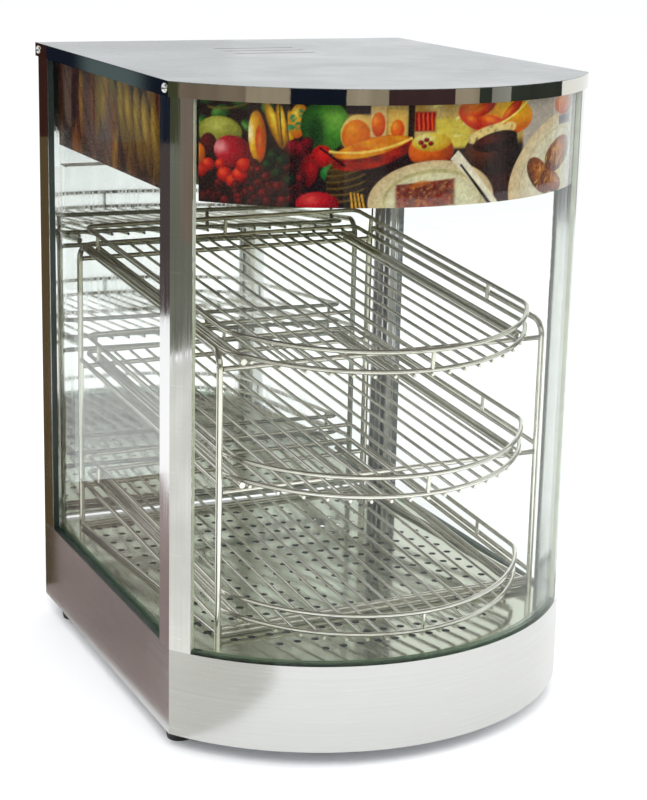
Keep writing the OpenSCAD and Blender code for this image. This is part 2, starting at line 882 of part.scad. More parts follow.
// One door knuckle and its leaf for each hinge
module hinge_door_leaves() {
    color("silver") placed() for (z = hinge_zs) difference() {
        union() {
            translate([hinge_x, hinge_y, z - knuckle_h / 2]) cylinder(r = hinge_r, h = knuckle_h);
            translate([door_x, hinge_y, z - knuckle_h / 2]) cube([1.2, door_y1 - hinge_y - 1, knuckle_h]);
        }
        translate([hinge_x, hinge_y, z - knuckle_h]) cylinder(r = pin_r + run_gap, h = 2 * knuckle_h);
    }
}

// ---- Rack ----

// Stands the rack's pieces where the rack stands on the floor plate
module racked() {
    placed() translate([rack_x, rack_y, 0]) rotate([0, 0, rack_turn]) children();
}

// Height of a sloping line that is z high at the middle of the rack
function sloped(z, y) = z + slope * y;

// Side frame: one bent rod for the legs and top bar, with a bottom bar and two rails
module side_frame() {
    z_front = sloped(top_bar_z, leg_front);
    z_rear = sloped(top_bar_z, leg_rear);
    foot_z = floor_z + leg_r;
    b = rack_bend;
    cut = b * tan((90 - tilt) / 2);
    cut_rear = b * tan((90 + tilt) / 2);
    top0 = [0, leg_front + cut * cos(tilt), z_front + cut * sin(tilt)];
    top1 = [0, leg_rear - cut_rear * cos(tilt), z_rear - cut_rear * sin(tilt)];
    knee0 = [0, leg_front, z_front - cut];
    knee1 = [0, leg_rear, z_rear - cut_rear];
    rod([0, leg_front, floor_z], knee0 - [0, 0, weld_gap], leg_r);
    rod([0, leg_rear, floor_z], knee1 - [0, 0, weld_gap], leg_r);
    rod(top0, top1, leg_r, weld_gap);
    beads([knee0, top0, top1, knee1], leg_r);
    bend_yz(leg_front + b, z_front - cut, b, leg_r, 90 + tilt, 90 - tilt);
    bend_yz(leg_rear - b, z_rear - cut_rear, b, leg_r, 0, 90 + tilt);
    rod([0, leg_front, foot_z], [0, leg_rear, foot_z], bar_r);
    for (i = [1, 2]) {
        z = rim_z0 - level_drop[i] - bar_drop + rail_over_bar;
        rod([0, leg_front, sloped(z, leg_front)], [0, leg_rear, sloped(z, leg_rear)], bar_r);
    }
}

module left_side_frame() {
    color("darkkhaki") racked() translate([-leg_x, 0, 0]) side_frame();
}

module right_side_frame() {
    color("darkkhaki") racked() translate([leg_x, 0, 0]) side_frame();
}

// Cross bar between the side frames
module cross_bar(y, z) {
    reach = leg_x - leg_r - weld_touch;
    rod([-reach, y, z], [reach, y, z], bar_r);
}

// Tilted plane of one shelf, with its rim at height 0
module shelf_plane(level) {
    translate([shelf_x, 0, rim_z0 - level_drop[level]]) rotate([tilt, 0, 0]) children();
}

// Cross bars, and the two runners on each pair of them that a shelf rests on
module rack_cross_bars() {
    past = 4;
    color("darkkhaki") racked() {
        for (y = [leg_front, leg_rear]) cross_bar(y, floor_z + leg_r);
        for (level = [0 : 2]) {
            for (y = [leg_front, leg_rear])
                cross_bar(y, sloped(rim_z0 - level_drop[level], y) - bar_drop / cos(tilt));
            shelf_plane(level) for (x = [-runner_x, runner_x])
                rod([x, leg_front / cos(tilt) - past, -runner_drop],
                    [x, leg_rear / cos(tilt) + past, -runner_drop], leg_r);
        }
    }
}

// Closed loop of wire round a shelf, at a height over the shelf's plane
module shelf_loop(z, r) {
    side_y = shelf_back - shelf_back_r;
    rear_x = shelf_hw - shelf_back_r;
    translate([0, 0, z]) {
        bend_xy(0, shelf_arc_y, shelf_r, r, -90 - shelf_a, 2 * shelf_a);
        bend_xy(fillet_x, fillet_y, shelf_fillet, r, shelf_a - 90, 90 - shelf_a);
        bend_xy(-fillet_x, fillet_y, shelf_fillet, r, 180, 90 - shelf_a);
        for (s = [-1, 1]) {
            tip = [s * shelf_r * sin(shelf_a), shelf_arc_y - shelf_r * cos(shelf_a), 0];
            side0 = [s * shelf_hw, fillet_y, 0];
            side1 = [s * shelf_hw, side_y, 0];
            beads([tip], r, 90 + s * shelf_a);
            beads([side0, side1], r);
            beads([[s * rear_x, shelf_back, 0]], r, 90);
            rod(side0, side1, r, weld_gap);
        }
        bend_xy(rear_x, side_y, shelf_back_r, r, 0, 90);
        bend_xy(-rear_x, side_y, shelf_back_r, r, 90, 90);
        rod([-rear_x, shelf_back, 0], [rear_x, shelf_back, 0], r, weld_gap);
    }
}

// Rim of one shelf with its guard rail and the short posts between them
module shelf_rim(level) {
    color("darkkhaki") racked() shelf_plane(level) {
        shelf_loop(0, rim_r);
        shelf_loop(guard_h, rim_r);
        for (y = [shelf_tip, shelf_back]) rod([0, y, 0], [0, y, guard_h], guard_post_r);
        for (s = [-1, 1]) for (y = guard_side_y)
            rod([s * shelf_hw, y, 0], [s * shelf_hw, y, guard_h], guard_post_r);
    }
}

// Grid wires under the rim of one shelf
module shelf_grid(level) {
    past = 2.4;
    color("darkkhaki") racked() shelf_plane(level) for (i = [-grid_count : grid_count]) {
        x = i * grid_pitch;
        bowed = abs(x) < shelf_r * sin(shelf_a);
        front = bowed ? shelf_arc_y - sqrt(pow(shelf_r, 2) - pow(x, 2))
              : fillet_y - sqrt(pow(shelf_fillet, 2) - pow(abs(x) - fillet_x, 2));
        rod([x, front - past, -grid_drop], [x, shelf_back + past, -grid_drop], grid_r);
    }
}

module top_shelf_rim() {
    shelf_rim(0);
}

module top_shelf_grid() {
    shelf_grid(0);
}

module middle_shelf_rim() {
    shelf_rim(1);
}

module middle_shelf_grid() {
    shelf_grid(1);
}

module bottom_shelf_rim() {
    shelf_rim(2);
}

module bottom_shelf_grid() {
    shelf_grid(2);
}

base_shell();
bottom_plate();
rear_panel();
floor_plate();
feet();
foot_screws();
foot_nuts();
heat_shield();
heating_element();
element_brackets();
thermostat_body();
thermostat_bulb();
terminal_block();
lamp_cable();
cable_gland();
pilot_lamp();
power_switch();
light_switch();
panel_screws();
front_left_post();
front_right_post();
rear_left_post();
rear_right_post();
front_glass();
left_glass();
right_glass();
left_gasket();
right_gasket();
front_seal();
front_film();
left_film();
right_film();
lid();
lid_screws();
rear_header();
ceiling_panel();
lamp_holder();
lamp_bulb();
lamp_diffuser();
door_magnet();
hinge_case_leaves();
hinge_pins();
left_side_frame();
right_side_frame();
rack_cross_bars();
door_outer_pan();
door_inner_panel();
door_handle();
door_strike();
hinge_door_leaves();
thermostat_knob();
thermostat_shaft();
power_rocker();
light_rocker();
top_shelf_rim();
top_shelf_grid();
middle_shelf_rim();
middle_shelf_grid();
bottom_shelf_rim();
bottom_shelf_grid();
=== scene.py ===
import math

import bpy
import numpy as np
from mathutils import Matrix, Vector


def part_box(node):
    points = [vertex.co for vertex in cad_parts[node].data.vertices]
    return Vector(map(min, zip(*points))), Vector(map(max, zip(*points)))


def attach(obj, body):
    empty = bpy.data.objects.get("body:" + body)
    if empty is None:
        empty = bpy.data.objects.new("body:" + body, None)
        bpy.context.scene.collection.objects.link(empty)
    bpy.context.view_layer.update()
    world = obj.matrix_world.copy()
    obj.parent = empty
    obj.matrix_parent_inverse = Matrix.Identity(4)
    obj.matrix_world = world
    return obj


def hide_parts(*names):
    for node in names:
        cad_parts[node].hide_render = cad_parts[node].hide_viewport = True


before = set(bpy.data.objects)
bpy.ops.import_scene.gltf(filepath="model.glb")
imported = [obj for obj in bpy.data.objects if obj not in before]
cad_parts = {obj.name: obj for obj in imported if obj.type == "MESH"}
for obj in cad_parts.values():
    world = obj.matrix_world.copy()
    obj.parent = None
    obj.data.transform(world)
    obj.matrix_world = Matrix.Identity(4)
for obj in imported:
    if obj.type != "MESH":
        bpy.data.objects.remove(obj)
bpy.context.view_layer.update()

rng = np.random.default_rng(11)
MM = 0.001
SIDE_HALF = 0.191  # half the depth of the straight sides
BOW = 0.102  # how far the middle of the front stands out past the straight sides
GLASS_T = 0.005
FILM_IN = 0.0052  # from the round front in to the print
CAMERA_AT = (-0.7461, -1.7107, 0.7513)  # from the bench under the middle of the straight sides
CAMERA_TURN = (24.498, 14.808, 1.315)  # degrees to the right, down, and rolled
CAMERA_LENS = 88.45  # for a sensor 36 mm wide
WALL_R = 2.2
WALL_TOP = 0.72


# ---------------------------------------------------------------- places

def span(node):
    lo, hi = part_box(node)
    return Vector(lo), Vector(hi)


rear_y = span("rear_panel")[1].y
deck_z = span("front_glass")[0].z
lid_top = span("lid")[1].z
post_corner = span("rear_left_post")[0]
side_x = -post_corner.x
mid_y = rear_y - SIDE_HALF
arc_r = (side_x ** 2 + BOW ** 2) / (2 * BOW)
arc_y = mid_y - SIDE_HALF - BOW + arc_r


# ---------------------------------------------------------------- node helpers

def plug(nt, socket, value):
    """Links another socket to this one, or sets its plain value."""
    if isinstance(value, bpy.types.NodeSocket):
        nt.links.new(value, socket)
    else:
        socket.default_value = value


def add(nt, kind, attrs=None, **inputs):
    """Adds a node. Inputs are sockets to link or plain values, by name or as in0, in1."""
    node = nt.nodes.new(kind)
    for key, value in (attrs or {}).items():
        setattr(node, key, value)
    for key, value in inputs.items():
        numbered = key[:2] == "in" and key[2:].isdigit()
        plug(nt, node.inputs[int(key[2:]) if numbered else key.replace("_", " ")], value)
    return node


def maths(nt, operation, a, b, clamp=False):
    return add(nt, "ShaderNodeMath", {"operation": operation, "use_clamp": clamp}, in0=a, in1=b).outputs[0]


def mix_colour(nt, factor, first, second):
    node = add(nt, "ShaderNodeMix", {"data_type": "RGBA"}, in0=factor)
    for i, colour in ((6, first), (7, second)):
        linked = isinstance(colour, bpy.types.NodeSocket)
        plug(nt, node.inputs[i], colour if linked else (*colour[:3], 1.0))
    return node.outputs[2]


def remap(nt, value, a, b, lo=0.0, hi=1.0):
    """Takes lo to a and hi to b, and holds the value at the ends."""
    node = add(nt, "ShaderNodeMapRange", None, Value=value, From_Min=lo, From_Max=hi, To_Min=a, To_Max=b)
    return node.outputs[0]


def noise(nt, vector, scale, detail, rough=0.5, distort=0.0):
    node = add(nt, "ShaderNodeTexNoise", None, Vector=vector, Scale=scale, Detail=detail, Roughness=rough,
               Distortion=distort)
    return node.outputs[0]


def object_place(nt):
    return add(nt, "ShaderNodeTexCoord").outputs["Object"]


def place(nt, stretch, shift=(0, 0, 0)):
    node = add(nt, "ShaderNodeMapping", None, Vector=object_place(nt), Scale=stretch, Location=shift)
    return node.outputs[0]


def split(nt):
    """The three coordinates of the point on the object."""
    return add(nt, "ShaderNodeSeparateXYZ", None, Vector=object_place(nt)).outputs


def new_material(name):
    material = bpy.data.materials.new(name)
    material.use_nodes = True
    nt = material.node_tree
    return material, nt, nt.nodes["Principled BSDF"]


def set_shader(nt, shader, **inputs):
    for key, value in inputs.items():
        plug(nt, shader.inputs[key.replace("_", " ")], value)


def bump(nt, height, strength, distance=0.001):
    return add(nt, "ShaderNodeBump", None, Height=height, Strength=strength, Distance=distance).outputs[0]


def scaled(colour, factor):
    return tuple(min(1.0, k * factor) for k in colour)


# ---------------------------------------------------------------- kinds of surface

def steel(name, colour, rough, grain, depth, smudge=0.35, scratches=0.4):
    """Stainless sheet: fine drawn grain, faint smudges and a few hairline scratches."""
    material, nt, shader = new_material(name)
    drawn = noise(nt, place(nt, grain), 1.0, 4.0, 0.65)
    fine = noise(nt, place(nt, tuple(k * 2.7 for k in grain)), 1.0, 2.0, 0.5)
    cloud = noise(nt, place(nt, (9, 9, 9)), 1.0, 4.0, 0.6, 0.4)
    wave = noise(nt, place(nt, (3.1, 3.1, 5)), 1.0, 2.0, 0.5)
    hair = noise(nt, place(nt, (55, 40, 900), (3, 1, 7)), 1.0, 1.0, 0.3)
    scratch = maths(nt, "MULTIPLY", remap(nt, hair, 0.0, 1.0, 0.70, 0.76), scratches)
    smudged = tuple(k * w for k, w in zip(colour, (0.97, 0.95, 0.93)))
    tone = mix_colour(nt, remap(nt, drawn, 0.0, 0.55, 0.3, 0.7), colour, scaled(colour, 0.86))
    tone = mix_colour(nt, remap(nt, cloud, 0.0, smudge, 0.45, 0.75), tone, smudged)
    tone = mix_colour(nt, scratch, tone, scaled(colour, 1.15))
    roughness = maths(nt, "ADD", remap(nt, cloud, rough * 0.8, rough * 1.3, 0.3, 0.7),
                      remap(nt, fine, -0.04, 0.05, 0.3, 0.7), True)
    height = maths(nt, "ADD", maths(nt, "MULTIPLY", drawn, 0.5), maths(nt, "MULTIPLY", wave, 3.0))
    set_shader(nt, shader, Base_Color=tone, Metallic=1.0, Roughness=roughness, Normal=bump(nt, height, depth))
    return material


def lid_sheet(name, colour, skirt, skirt_top, slots):
    """Satin top with a mirror-polished skirt below skirt_top, and painted shade on the cut edges in the vent
    slots: dark brown and not metallic.
    """
    material = steel(name, colour, 0.24, (4, 560, 300), 0.02, 0.1, 0.2)
    nt = material.node_tree
    shader = nt.nodes["Principled BSDF"]
    top = shader.inputs["Base Color"].links[0].from_socket
    rough = shader.inputs["Roughness"].links[0].from_socket
    height = split(nt)[2]
    low = maths(nt, "LESS_THAN", height, skirt_top)
    # painted shade: near the vent slots and below the top face, the cut edges are coloured dark brown and
    # lose their metal
    away = add(nt, "ShaderNodeVectorMath", {"operation": "DISTANCE"}, in0=object_place(nt), in1=slots)
    by_slots = maths(nt, "LESS_THAN", away.outputs["Value"], 0.06)
    slot_edge_shade = maths(nt, "MULTIPLY", by_slots, maths(nt, "LESS_THAN", height, slots[2] - 0.0001))
    tone = mix_colour(nt, slot_edge_shade, mix_colour(nt, low, top, skirt), (0.10, 0.065, 0.05))
    set_shader(nt, shader, Base_Color=tone, Metallic=maths(nt, "SUBTRACT", 1.0, slot_edge_shade),
               Roughness=maths(nt, "MULTIPLY", rough, remap(nt, low, 1.0, 0.12)))
    return material


def plain(name, colour, rough, metallic, grain, depth, vary=0.25, coat=0.0):
    """Moulded or plated surface with a fine uneven finish."""
    material, nt, shader = new_material(name)
    fine = noise(nt, place(nt, (grain,) * 3), 6.0, 4.0, 0.6)
    broad = noise(nt, place(nt, (grain,) * 3), 0.4, 2.0, 0.5)
    tone = mix_colour(nt, remap(nt, broad, 0.0, 1.0, 0.3, 0.7), scaled(colour, 1 - vary), colour)
    tone = mix_colour(nt, remap(nt, fine, 0.0, 0.3, 0.4, 0.7), tone, scaled(colour, 1.25))
    roughness = remap(nt, fine, rough * 0.8, min(1.0, rough * 1.25), 0.3, 0.7)
    set_shader(nt, shader, Base_Color=tone, Metallic=metallic, Roughness=roughness,
               Normal=bump(nt, fine, depth, 0.0004), Coat_Weight=coat)
    return material


def chrome_wire(name, colour, painted_shade_colour, z_range, y_range):
    """Nickel-plated wire, with painted shade that turns it darker and more olive towards the top and rear,
    and brown traces at random spots.
    """
    material, nt, shader = new_material(name)
    fine = noise(nt, place(nt, (260, 260, 260)), 1.0, 3.0, 0.6)
    broad = noise(nt, place(nt, (16, 16, 16)), 1.0, 3.0, 0.6)
    spots = noise(nt, place(nt, (40, 40, 40), (5, 2, 1)), 1.0, 4.0, 0.7)
    at = split(nt)
    # painted shade: the wire turns darker and more olive with height and towards the rear
    painted_shade_top_rear = maths(nt, "ADD", remap(nt, at[2], 0.0, 0.55, *z_range), remap(nt, at[1], 0.0, 0.4, *y_range), True)
    tone = mix_colour(nt, remap(nt, broad, 0.0, 1.0, 0.35, 0.65), scaled(colour, 0.85), colour)
    tone = mix_colour(nt, painted_shade_top_rear, tone, painted_shade_colour)
    tone = mix_colour(nt, remap(nt, spots, 0.0, 0.45, 0.58, 0.72), tone, (0.34, 0.29, 0.19))
    roughness = maths(nt, "ADD", remap(nt, broad, 0.07, 0.16, 0.3, 0.7),
                      remap(nt, fine, -0.03, 0.04, 0.3, 0.7), True)
    set_shader(nt, shader, Base_Color=tone, Metallic=1.0, Roughness=roughness,
               Normal=bump(nt, fine, 0.12, 0.0004))
    return material


def glass(name, tint, edge, foot_z):
    """Glazing: clear straight on, greener at a low angle and along its foot, with faint wiping marks."""
    material, nt, shader = new_material(name)
    nt.nodes.remove(shader)
    smear = noise(nt, place(nt, (7, 7, 2.2)), 1.0, 4.0, 0.6, 0.8)
    facing = add(nt, "ShaderNodeLayerWeight", None, Blend=0.5).outputs["Facing"]
    grazing = maths(nt, "POWER", facing, 5.0, True)
    reflected = add(nt, "ShaderNodeMath", {"operation": "MULTIPLY_ADD"}, in0=grazing, in1=0.7, in2=0.022)
    tone = mix_colour(nt, grazing, tint, edge)
    tone = mix_colour(nt, remap(nt, smear, 0.0, 0.04, 0.5, 0.75), tone, (0.95, 0.97, 0.96))
    tone = mix_colour(nt, maths(nt, "LESS_THAN", split(nt)[2], foot_z), tone, (0.45, 0.56, 0.46))
    clear = add(nt, "ShaderNodeBsdfTransparent", None, Color=tone)
    gloss = add(nt, "ShaderNodeBsdfGlossy", None, Color=(0.95, 0.98, 0.97, 1),
                Roughness=remap(nt, smear, 0.01, 0.04))
    both = add(nt, "ShaderNodeMixShader", None, in0=reflected.outputs[0], in1=clear.outputs[0],
               in2=gloss.outputs[0])
    nt.links.new(both.outputs[0], nt.nodes["Material Output"].inputs[0])
    return material


def print_film(name):
    """Glossy printed film: the painted colours with a fine dot grain."""
    material, nt, shader = new_material(name)
    ink = add(nt, "ShaderNodeVertexColor", {"layer_name": "ink"}).outputs[0]
    dots = noise(nt, place(nt, (900, 900, 900)), 1.0, 2.0, 0.5)
    tone = mix_colour(nt, remap(nt, dots, 0.0, 0.22, 0.4, 0.7), ink, (0.03, 0.02, 0.02))
    set_shader(nt, shader, Base_Color=tone, Roughness=remap(nt, dots, 0.22, 0.34, 0.3, 0.7),
               Specular_IOR_Level=0.15)
    return material


# ---------------------------------------------------------------- materials

SATIN = steel("satin_sheet", (0.575, 0.58, 0.56), 0.18, (4, 4, 520), 0.02)
LID = lid_sheet("lid_sheet", (0.375, 0.40, 0.39), (0.68, 0.67, 0.59), lid_top - 0.0006,
                (-0.008, mid_y + 0.066, lid_top))
POLISHED = steel("polished_sheet", (0.76, 0.76, 0.745), 0.06, (300, 300, 5), 0.015, 0.25, 0.35)
MIRROR = steel("mirror_sheet", (0.83, 0.86, 0.84), 0.035, (200, 200, 6), 0.01, 0.2, 0.2)
FLOOR_STEEL = steel("floor_sheet", (0.63, 0.66, 0.53), 0.10, (300, 5, 300), 0.03, 0.5, 0.5)
GALV = steel("zinc_sheet", (0.62, 0.64, 0.66), 0.38, (60, 60, 60), 0.1, 0.6, 0.3)
# the dark olive given here is painted shade towards the top and rear of the racks
WIRE = chrome_wire("nickel_wire", (0.88, 0.86, 0.77), (0.30, 0.30, 0.19), (deck_z + 0.14, deck_z + 0.30),
                   (mid_y - 0.1, mid_y + 0.15))
HARDWARE = plain("bright_hardware", (0.72, 0.72, 0.70), 0.2, 1.0, 120, 0.1, 0.2)
RUBBER = plain("black_rubber", (0.012, 0.012, 0.012), 0.55, 0.0, 300, 0.3)
SEAL = plain("silicone_bead", (0.42, 0.44, 0.32), 0.35, 0.0, 200, 0.2)
TANNED = steel("heat_tanned_sheet", (0.26, 0.20, 0.16), 0.4, (60, 60, 60), 0.1, 0.6, 0.3)
GASKET = plain("green_black_rubber", (0.012, 0.02, 0.016), 0.3, 0.0, 200, 0.2)
BLACK = plain("black_moulding", (0.016, 0.016, 0.018), 0.32, 0.0, 220, 0.2, 0.2, 0.2)
RED = plain("red_moulding", (0.55, 0.02, 0.012), 0.25, 0.0, 200, 0.1, 0.3, 0.4)
AMBER = plain("amber_lens", (0.85, 0.30, 0.02), 0.15, 0.0, 200, 0.1, 0.3, 0.6)
ELEMENT = plain("heater_sheath", (0.12, 0.10, 0.085), 0.45, 0.8, 90, 0.3, 0.4)
COPPER = plain("copper_tube", (0.72, 0.36, 0.2), 0.28, 1.0, 100, 0.15, 0.3)
WHITE = plain("off_white_moulding", (0.72, 0.71, 0.66), 0.45, 0.0, 150, 0.15, 0.12)
OPAL = plain("opal_diffuser", (0.85, 0.85, 0.82), 0.4, 0.0, 150, 0.1, 0.08)
BULB = plain("frosted_bulb", (0.85, 0.82, 0.72), 0.25, 0.0, 90, 0.05, 0.1, 0.3)
GLASS = glass("cabinet_glass", (0.993, 0.999, 0.995), (0.87, 0.92, 0.89), deck_z + 0.004)
PRINT = print_film("printed_film")

LOOKS = {
    "base_shell": SATIN, "rear_panel": SATIN, "bottom_plate": GALV, "floor_plate": FLOOR_STEEL,
    "feet": RUBBER, "foot_screws": HARDWARE, "foot_nuts": HARDWARE, "heat_shield": GALV,
    "heating_element": ELEMENT, "element_brackets": GALV, "thermostat_body": GALV, "thermostat_bulb": COPPER,
    "terminal_block": WHITE, "lamp_cable": WHITE, "cable_gland": BLACK, "pilot_lamp": AMBER,
    "power_switch": BLACK, "light_switch": BLACK, "panel_screws": HARDWARE, "front_left_post": POLISHED,
    "front_right_post": POLISHED, "rear_left_post": POLISHED, "rear_right_post": POLISHED,
    "front_glass": GLASS, "left_glass": GLASS, "right_glass": GLASS, "left_gasket": GASKET,
    "right_gasket": GASKET, "front_seal": SEAL, "lid": LID, "lid_screws": HARDWARE,
    "rear_header": MIRROR, "ceiling_panel": TANNED, "lamp_holder": WHITE, "lamp_bulb": BULB,
    "lamp_diffuser": OPAL, "door_magnet": BLACK, "hinge_case_leaves": HARDWARE, "hinge_pins": HARDWARE,
    "door_outer_pan": SATIN, "door_inner_panel": MIRROR, "door_handle": HARDWARE, "door_strike": HARDWARE,
    "hinge_door_leaves": HARDWARE, "thermostat_knob": BLACK, "thermostat_shaft": HARDWARE,
    "power_rocker": RED, "light_rocker": RED, "front_film": PRINT, "left_film": PRINT, "right_film": PRINT,
}
# every node that is not listed is wire
for node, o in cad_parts.items():
    o.data.materials.clear()
    o.data.materials.append(LOOKS.get(node, WIRE))


# ---------------------------------------------------------------- printed films

def rgb(r, g, b):
    """Linear colour from everyday 0-255 values."""
    return np.array([(c / 255) ** 2.2 for c in (r, g, b)])


class Picture:
    """A painted sheet. Distances in millimetres from its lower left corner, seen from outside."""

    def __init__(self, width, height, step):
        self.columns, self.rows = int(width / step) + 1, int(height / step) + 1
        along, up = np.linspace(0, width, self.columns), np.linspace(0, height, self.rows)
        self.s, self.z = np.meshgrid(along, up)
        self.ink = np.zeros((self.rows, self.columns, 3))

    def cloud(self, sx, sz):
        """Smooth random values from 0 to 1, with features sx by sz millimetres."""
        grid = rng.random((int(self.z.max() / sz) + 3, int(self.s.max() / sx) + 3))
        u, v = self.s / sx, self.z / sz
        i, j = u.astype(int), v.astype(int)
        fu, fv = u - i, v - j
        fu, fv = fu * fu * (3 - 2 * fu), fv * fv * (3 - 2 * fv)
        low = grid[j, i] * (1 - fu) + grid[j, i + 1] * fu
        high = grid[j + 1, i] * (1 - fu) + grid[j + 1, i + 1] * fu
        return low * (1 - fv) + high * fv

    def paint(self, mask, colour):
        self.ink += (colour - self.ink) * np.clip(mask, 0, 1)[..., None]

    def local(self, c, r, turn):
        """Distances from c along two turned axes, in units of the half lengths r."""
        a = math.radians(turn)
        ds, dz = self.s - c[0], self.z - c[1]
        return (ds * math.cos(a) + dz * math.sin(a)) / r[0], (dz * math.cos(a) - ds * math.sin(a)) / r[1]

    def oval(self, c, r, turn=0, soft=0.7):
        u, v = self.local(c, r, turn)
        return np.clip((1 - np.hypot(u, v)) * min(r) / soft + 0.5, 0, 1)

    def fruit(self, c, r, light, base, dark, turn=0, shine=(-0.35, 0.4), rough=0.15):
        """Rounded body, lighter towards its shine and darker at the far edge."""
        u, v = self.local(c, r, turn)
        d = np.hypot(u - shine[0], v - shine[1]) + rough * (self.cloud(2.2, 2.2) - 0.5)
        t = np.clip(d / 1.5, 0, 1)[..., None]
        col = np.where(t < 0.4, light + (base - light) * t / 0.4, base + (dark - base) * (t - 0.4) / 0.6)
        self.paint(self.oval(c, r, turn), col)

    def stroke(self, p, q, w0, w1, colour, sag=0.0):
        """Tapering line from p to q that sags in the middle."""
        d = np.array(q, float) - np.array(p, float)
        n = np.hypot(*d)
        u = ((self.s - p[0]) * d[0] + (self.z - p[1]) * d[1]) / n ** 2
        v = ((self.z - p[1]) * d[0] - (self.s - p[0]) * d[1]) / n + sag * 4 * u * (1 - u)
        half = w0 + (w1 - w0) * np.clip(u, 0, 1)
        self.paint(np.clip((half - np.abs(v)) / 0.6 + 0.5, 0, 1) * (u > 0) * (u < 1), colour)

    def block(self, s0, s1, z0, z1, colour, soft=0.7):
        """Upright rectangle with soft edges."""
        m = np.minimum(np.minimum(self.s - s0, s1 - self.s), np.minimum(self.z - z0, z1 - self.z))
        self.paint(np.clip(m / soft + 0.5, 0, 1), colour)

    def mesh(self, name, place_at):
        """Sheet whose corners go where place_at puts their distances, in metres."""
        points = place_at(self.s * MM, self.z * MM).reshape(-1, 3)
        index = np.arange(len(points)).reshape(self.rows, self.columns)
        quads = np.stack([index[:-1, :-1], index[:-1, 1:], index[1:, 1:], index[1:, :-1]], -1).reshape(-1, 4)
        mesh = bpy.data.meshes.new(name)
        mesh.from_pydata(points.tolist(), [], quads.tolist())
        layer = mesh.color_attributes.new("ink", "FLOAT_COLOR", "POINT")
        rgba = np.ones((len(points), 4), np.float32)
        grey = self.ink.mean(-1, keepdims=True)
        strong = np.clip(grey + (self.ink - grey) * 1.1, 0, 1) ** 1.18
        mottle = 0.38 + 0.2 * self.cloud(1.7, 1.7)[..., None] + 0.11 * self.cloud(7, 5)[..., None]
        rgba[:, :3] = np.clip(strong * mottle, 0, 1).reshape(-1, 3)
        layer.data.foreach_set("color", rgba.ravel())
        mesh.polygons.foreach_set("use_smooth", [True] * len(quads))
        mesh.materials.append(PRINT)
        o = bpy.data.objects.new(name, mesh)
        bpy.context.collection.objects.link(o)
        return o


